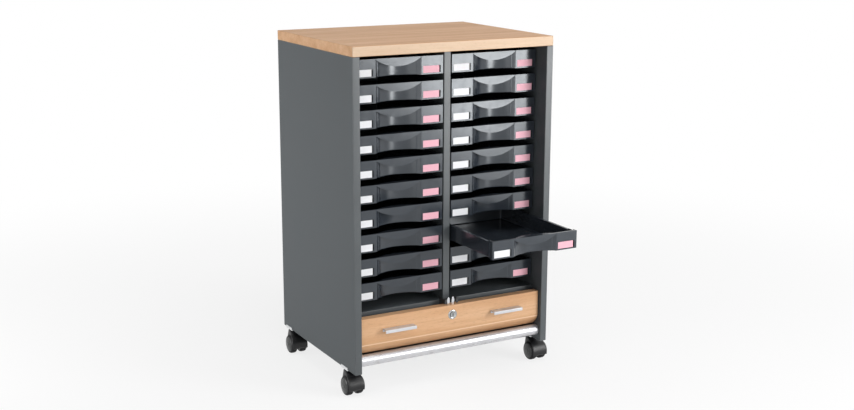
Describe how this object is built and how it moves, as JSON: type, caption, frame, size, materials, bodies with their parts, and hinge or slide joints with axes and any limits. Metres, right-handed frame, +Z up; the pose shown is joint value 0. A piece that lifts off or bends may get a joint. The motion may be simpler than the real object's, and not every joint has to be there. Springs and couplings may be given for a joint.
{
  "type": "mobile tray storage unit",
  "caption": "Mobile classroom storage unit: two columns of shallow pull-out trays over a wide lockable drawer, in an open-fronted cabinet on swivel castors.",
  "frame": {"origin": "on the floor, centre of the bounding box in plan with one tray pulled out", "axes": "+Z up, the front with the trays and the drawer faces -Y, +X to the right seen from the front"},
  "size_m": [0.604, 0.617, 0.884],
  "materials": {
    "anthracite_board": "melamine-faced board, satin anthracite",
    "beech_board": "melamine-faced board, beech print",
    "grey_drawer_board": "grey foil-wrapped board",
    "dowel_wood": "plain",
    "silver_tube": "satin, silver lacquered",
    "black_plastic": "smooth",
    "runner_plastic": "fine grain",
    "tray_plastic": "satin anthracite",
    "wheel_plastic": "smooth",
    "black_steel": "powder coated",
    "zinc_steel": "zinc plated",
    "satin_silver": "satin",
    "chrome": "polished"
  },
  "bodies": {
    "carcass": {"side_panel_left": "anthracite_board", "side_panel_right": "anthracite_board", "divider_panel": "anthracite_board", "top_board": "beech_board", "tray_shelf": "anthracite_board", "base_board": "anthracite_board", "back_panel": "anthracite_board", "carcass_dowels": "dowel_wood", "front_tube": "silver_tube", "tube_end_plugs": "black_plastic", "tray_runners_left_side": "runner_plastic", "tray_runners_left_divider": "runner_plastic", "tray_runners_right_divider": "runner_plastic", "tray_runners_right_side": "runner_plastic", "lock_keep": "black_steel", "castor_clasps": "zinc_steel", "drawer_slide_channels": "zinc_steel"},
    "drawer": {"drawer_front": "beech_board", "drawer_sides": "grey_drawer_board", "drawer_back": "grey_drawer_board", "drawer_bottom": "grey_drawer_board", "drawer_slide_rails": "zinc_steel", "drawer_handles": "satin_silver", "handle_screws": "zinc_steel", "lock_case": "chrome"},
    "lock_cylinder": {"lock_cylinder": "chrome"},
    "lock_hook_left": {"lock_hook_left": "chrome"},
    "lock_hook_right": {"lock_hook_right": "chrome"},
    "tray_left_01": {"tray_left_01": "tray_plastic"},
    "tray_left_02": {"tray_left_02": "tray_plastic"},
    "tray_left_03": {"tray_left_03": "tray_plastic"},
    "tray_left_04": {"tray_left_04": "tray_plastic"},
    "tray_left_05": {"tray_left_05": "tray_plastic"},
    "tray_left_06": {"tray_left_06": "tray_plastic"},
    "tray_left_07": {"tray_left_07": "tray_plastic"},
    "tray_left_08": {"tray_left_08": "tray_plastic"},
    "tray_left_09": {"tray_left_09": "tray_plastic"},
    "tray_left_10": {"tray_left_10": "tray_plastic"},
    "tray_right_01": {"tray_right_01": "tray_plastic"},
    "tray_right_02": {"tray_right_02": "tray_plastic"},
    "tray_right_03": {"tray_right_03": "tray_plastic"},
    "tray_right_04": {"tray_right_04": "tray_plastic"},
    "tray_right_05": {"tray_right_05": "tray_plastic"},
    "tray_right_06": {"tray_right_06": "tray_plastic"},
    "tray_right_07": {"tray_right_07": "tray_plastic"},
    "tray_right_08": {"tray_right_08": "tray_plastic"},
    "tray_right_09": {"tray_right_09": "tray_plastic"},
    "tray_right_10": {"tray_right_10": "tray_plastic"},
    "castor_front_left": {"castor_hood_front_left": "black_plastic", "castor_pins_front_left": "zinc_steel"},
    "wheels_front_left": {"castor_wheels_front_left": "wheel_plastic"},
    "castor_front_right": {"castor_hood_front_right": "black_plastic", "castor_pins_front_right": "zinc_steel"},
    "wheels_front_right": {"castor_wheels_front_right": "wheel_plastic"},
    "castor_rear_left": {"castor_hood_rear_left": "black_plastic", "castor_pins_rear_left": "zinc_steel"},
    "wheels_rear_left": {"castor_wheels_rear_left": "wheel_plastic"},
    "castor_rear_right": {"castor_hood_rear_right": "black_plastic", "castor_pins_rear_right": "zinc_steel"},
    "wheels_rear_right": {"castor_wheels_rear_right": "wheel_plastic"}
  },
  "joints": [
    {"name": "tray_left_01_slide", "type": "slide", "parent": "carcass", "child": "tray_left_01", "axis": [0, -1, 0], "range_m": [0, 0.25]},
    {"name": "tray_left_02_slide", "type": "slide", "parent": "carcass", "child": "tray_left_02", "axis": [0, -1, 0], "range_m": [0, 0.25]},
    {"name": "tray_left_03_slide", "type": "slide", "parent": "carcass", "child": "tray_left_03", "axis": [0, -1, 0], "range_m": [0, 0.25]},
    {"name": "tray_left_04_slide", "type": "slide", "parent": "carcass", "child": "tray_left_04", "axis": [0, -1, 0], "range_m": [0, 0.25]},
    {"name": "tray_left_05_slide", "type": "slide", "parent": "carcass", "child": "tray_left_05", "axis": [0, -1, 0], "range_m": [0, 0.25]},
    {"name": "tray_left_06_slide", "type": "slide", "parent": "carcass", "child": "tray_left_06", "axis": [0, -1, 0], "range_m": [0, 0.25]},
    {"name": "tray_left_07_slide", "type": "slide", "parent": "carcass", "child": "tray_left_07", "axis": [0, -1, 0], "range_m": [0, 0.25]},
    {"name": "tray_left_08_slide", "type": "slide", "parent": "carcass", "child": "tray_left_08", "axis": [0, -1, 0], "range_m": [0, 0.25]},
    {"name": "tray_left_09_slide", "type": "slide", "parent": "carcass", "child": "tray_left_09", "axis": [0, -1, 0], "range_m": [0, 0.25]},
    {"name": "tray_left_10_slide", "type": "slide", "parent": "carcass", "child": "tray_left_10", "axis": [0, -1, 0], "range_m": [0, 0.25]},
    {"name": "tray_right_01_slide", "type": "slide", "parent": "carcass", "child": "tray_right_01", "axis": [0, -1, 0], "range_m": [0, 0.25]},
    {"name": "tray_right_02_slide", "type": "slide", "parent": "carcass", "child": "tray_right_02", "axis": [0, -1, 0], "range_m": [0, 0.25]},
    {"name": "tray_right_03_slide", "type": "slide", "parent": "carcass", "child": "tray_right_03", "axis": [0, -1, 0], "range_m": [0, 0.25]},
    {"name": "tray_right_04_slide", "type": "slide", "parent": "carcass", "child": "tray_right_04", "axis": [0, -1, 0], "range_m": [0, 0.25]},
    {"name": "tray_right_05_slide", "type": "slide", "parent": "carcass", "child": "tray_right_05", "axis": [0, -1, 0], "range_m": [0, 0.25]},
    {"name": "tray_right_06_slide", "type": "slide", "parent": "carcass", "child": "tray_right_06", "axis": [0, -1, 0], "range_m": [0, 0.25]},
    {"name": "tray_right_07_slide", "type": "slide", "parent": "carcass", "child": "tray_right_07", "axis": [0, -1, 0], "range_m": [0, 0.25]},
    {"name": "tray_right_08_slide", "type": "slide", "parent": "carcass", "child": "tray_right_08", "axis": [0, -1, 0], "range_m": [-0.205, 0.045]},
    {"name": "tray_right_09_slide", "type": "slide", "parent": "carcass", "child": "tray_right_09", "axis": [0, -1, 0], "range_m": [0, 0.25]},
    {"name": "tray_right_10_slide", "type": "slide", "parent": "carcass", "child": "tray_right_10", "axis": [0, -1, 0], "range_m": [0, 0.25]},
    {"name": "drawer_slide", "type": "slide", "parent": "carcass", "child": "drawer", "axis": [0, -1, 0], "range_m": [0, 0.3]},
    {"name": "lock_turn", "type": "hinge", "parent": "drawer", "child": "lock_cylinder", "pos_m": [0, -0.1385, 0.176], "axis": [0, 1, 0], "range_deg": [0, 90]},
    {"name": "hook_left_swing", "type": "hinge", "parent": "drawer", "child": "lock_hook_left", "pos_m": [-0.0061, -0.1273, 0.164], "axis": [0, 1, 0], "range_deg": [-5, 0]},
    {"name": "hook_right_swing", "type": "hinge", "parent": "drawer", "child": "lock_hook_right", "pos_m": [0.0061, -0.1273, 0.164], "axis": [0, 1, 0], "range_deg": [0, 5]},
    {"name": "castor_front_left_swivel", "type": "hinge", "parent": "carcass", "child": "castor_front_left", "pos_m": [-0.2765, -0.0875, 0.0605], "axis": [0, 0, 1], "continuous": true},
    {"name": "wheels_front_left_roll", "type": "hinge", "parent": "castor_front_left", "child": "wheels_front_left", "pos_m": [-0.2765, -0.1115, 0.025], "axis": [1, 0, 0], "continuous": true},
    {"name": "castor_front_right_swivel", "type": "hinge", "parent": "carcass", "child": "castor_front_right", "pos_m": [0.2765, -0.0875, 0.0605], "axis": [0, 0, 1], "continuous": true},
    {"name": "wheels_front_right_roll", "type": "hinge", "parent": "castor_front_right", "child": "wheels_front_right", "pos_m": [0.2765, -0.1115, 0.025], "axis": [1, 0, 0], "continuous": true},
    {"name": "castor_rear_left_swivel", "type": "hinge", "parent": "carcass", "child": "castor_rear_left", "pos_m": [-0.2765, 0.2705, 0.0605], "axis": [0, 0, 1], "continuous": true},
    {"name": "wheels_rear_left_roll", "type": "hinge", "parent": "castor_rear_left", "child": "wheels_rear_left", "pos_m": [-0.2765, 0.2465, 0.025], "axis": [1, 0, 0], "continuous": true},
    {"name": "castor_rear_right_swivel", "type": "hinge", "parent": "carcass", "child": "castor_rear_right", "pos_m": [0.2765, 0.2705, 0.0605], "axis": [0, 0, 1], "continuous": true},
    {"name": "wheels_rear_right_roll", "type": "hinge", "parent": "castor_rear_right", "child": "wheels_rear_right", "pos_m": [0.2765, 0.2465, 0.025], "axis": [1, 0, 0], "continuous": true}
  ],
  "couplings": [
    {"joint": "hook_left_swing", "follows": "lock_turn", "ratio": -0.055556},
    {"joint": "hook_right_swing", "follows": "lock_turn", "ratio": 0.055556}
  ]
}
